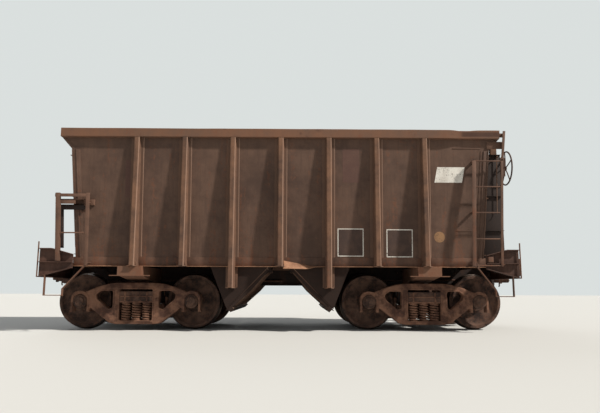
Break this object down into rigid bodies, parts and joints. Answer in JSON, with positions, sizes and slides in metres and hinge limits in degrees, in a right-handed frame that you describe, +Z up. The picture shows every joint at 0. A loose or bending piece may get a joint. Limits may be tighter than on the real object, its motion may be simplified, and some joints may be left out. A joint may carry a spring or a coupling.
{
  "type": "open hopper wagon",
  "caption": "Open-top steel ore hopper wagon on two four-wheel trucks, with ribbed leaning sides, sloped floors and swinging bottom doors.",
  "frame": {"origin": "middle of the wagon, on the plane of the wheel flanges' lowest points; the rail head is 25.4 mm above it", "axes": "+X along the track towards the hand brake, +Y across to the far side, +Z up"},
  "size_m": [7.94, 3.08, 3.0852],
  "materials": {
    "tub_paint": "weathered brown freight paint with rust",
    "inside_steel": "scoured and rusted bare plate",
    "frame_paint": "dark weathered paint, dusty",
    "ladder_paint": "weathered brown paint",
    "truck_iron": "rusted casting",
    "wheel_steel": "rusted, tread polished",
    "spring_steel": "rusted coil",
    "coupler_iron": "rusted casting"
  },
  "bodies": {
    "body": {"side_sheet_near": "tub_paint", "side_sheet_far": "tub_paint", "side_posts": "tub_paint", "side_chords": "tub_paint", "end_chords": "tub_paint", "side_sills": "tub_paint", "end_wall_a": "tub_paint", "end_wall_b": "tub_paint", "end_posts": "tub_paint", "slope_sheet_a": "inside_steel", "slope_sheet_b": "inside_steel", "chute_sheets": "inside_steel", "chute_sides": "tub_paint", "cross_ridge": "inside_steel", "sill_hood": "inside_steel", "centre_sill": "frame_paint", "body_bolsters": "frame_paint", "end_brackets": "tub_paint", "end_sills": "frame_paint", "coupler_a": "coupler_iron", "coupler_b": "coupler_iron", "knuckles": "coupler_iron", "ladder_stiles": "ladder_paint", "ladder_rungs": "ladder_paint", "sill_steps": "ladder_paint", "handholds": "ladder_paint", "brake_wheel": "ladder_paint", "brake_housing": "frame_paint", "air_tanks": "frame_paint", "end_pipes": "frame_paint", "uncoupling_levers": "ladder_paint", "door_hinges": "frame_paint"},
    "truck_a": {"side_frames_a": "truck_iron", "truck_bolster_a": "truck_iron", "springs_a": "spring_steel", "brake_beams_a": "truck_iron"},
    "truck_b": {"side_frames_b": "truck_iron", "truck_bolster_b": "truck_iron", "springs_b": "spring_steel", "brake_beams_b": "truck_iron"},
    "wheelset_1": {"wheels_1": "wheel_steel", "axle_1": "wheel_steel"},
    "wheelset_2": {"wheels_2": "wheel_steel", "axle_2": "wheel_steel"},
    "wheelset_3": {"wheels_3": "wheel_steel", "axle_3": "wheel_steel"},
    "wheelset_4": {"wheels_4": "wheel_steel", "axle_4": "wheel_steel"},
    "door_a": {"hopper_door_a": "frame_paint"},
    "door_b": {"hopper_door_b": "frame_paint"}
  },
  "joints": [
    {"name": "truck_a_swivel", "type": "hinge", "parent": "body", "child": "truck_a", "pos_m": [2.25, 0, 0.6804], "axis": [0, 0, 1], "range_deg": [-5, 5]},
    {"name": "truck_b_swivel", "type": "hinge", "parent": "body", "child": "truck_b", "pos_m": [-2.25, 0, 0.6804], "axis": [0, 0, 1], "range_deg": [-5, 5]},
    {"name": "wheelset_1_spin", "type": "hinge", "parent": "truck_a", "child": "wheelset_1", "pos_m": [3.1135, 0, 0.4444], "axis": [0, 1, 0], "continuous": true},
    {"name": "wheelset_2_spin", "type": "hinge", "parent": "truck_a", "child": "wheelset_2", "pos_m": [1.3865, 0, 0.4444], "axis": [0, 1, 0], "continuous": true},
    {"name": "wheelset_3_spin", "type": "hinge", "parent": "truck_b", "child": "wheelset_3", "pos_m": [-1.3865, 0, 0.4444], "axis": [0, 1, 0], "continuous": true},
    {"name": "wheelset_4_spin", "type": "hinge", "parent": "truck_b", "child": "wheelset_4", "pos_m": [-3.1135, 0, 0.4444], "axis": [0, 1, 0], "continuous": true},
    {"name": "door_a_hinge", "type": "hinge", "parent": "body", "child": "door_a", "pos_m": [0.16792, 0, 0.92384], "axis": [0, 1, 0], "range_deg": [0, 40]},
    {"name": "door_b_hinge", "type": "hinge", "parent": "body", "child": "door_b", "pos_m": [-0.16792, 0, 0.92384], "axis": [0, -1, 0], "range_deg": [0, 40]}
  ]
}
